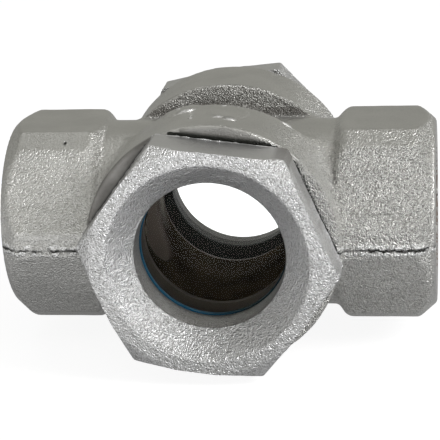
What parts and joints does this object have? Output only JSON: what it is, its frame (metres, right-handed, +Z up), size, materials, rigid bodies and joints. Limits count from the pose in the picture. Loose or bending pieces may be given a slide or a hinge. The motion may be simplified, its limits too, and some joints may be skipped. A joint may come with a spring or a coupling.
{
  "type": "sight glass",
  "caption": "In-line sight glass: a cast cross-shaped body with threaded hex ends, and a round glass window under a screwed hex cap on each side.",
  "frame": {"origin": "where the flow axis crosses the axis of the windows, at the centre of the fitting", "axes": "+X along the flow towards the outlet, +Y through the windows towards the rear one, +Z up"},
  "size_m": [0.114, 0.0856, 0.0662],
  "materials": {
    "body_paint": "silver paint over a sand-cast skin",
    "cap_paint": "silver paint over a sand-cast skin",
    "window_glass": "clear tempered disc with ground edges",
    "seal_gasket": "matt black",
    "cushion_gasket": "matt blue compressed fibre"
  },
  "bodies": {
    "root": {"body": "body_paint", "front_cap": "cap_paint", "rear_cap": "cap_paint", "front_glass": "window_glass", "rear_glass": "window_glass", "front_seal_gasket": "seal_gasket", "rear_seal_gasket": "seal_gasket", "front_cushion_gasket": "cushion_gasket", "rear_cushion_gasket": "cushion_gasket"}
  },
  "joints": []
}
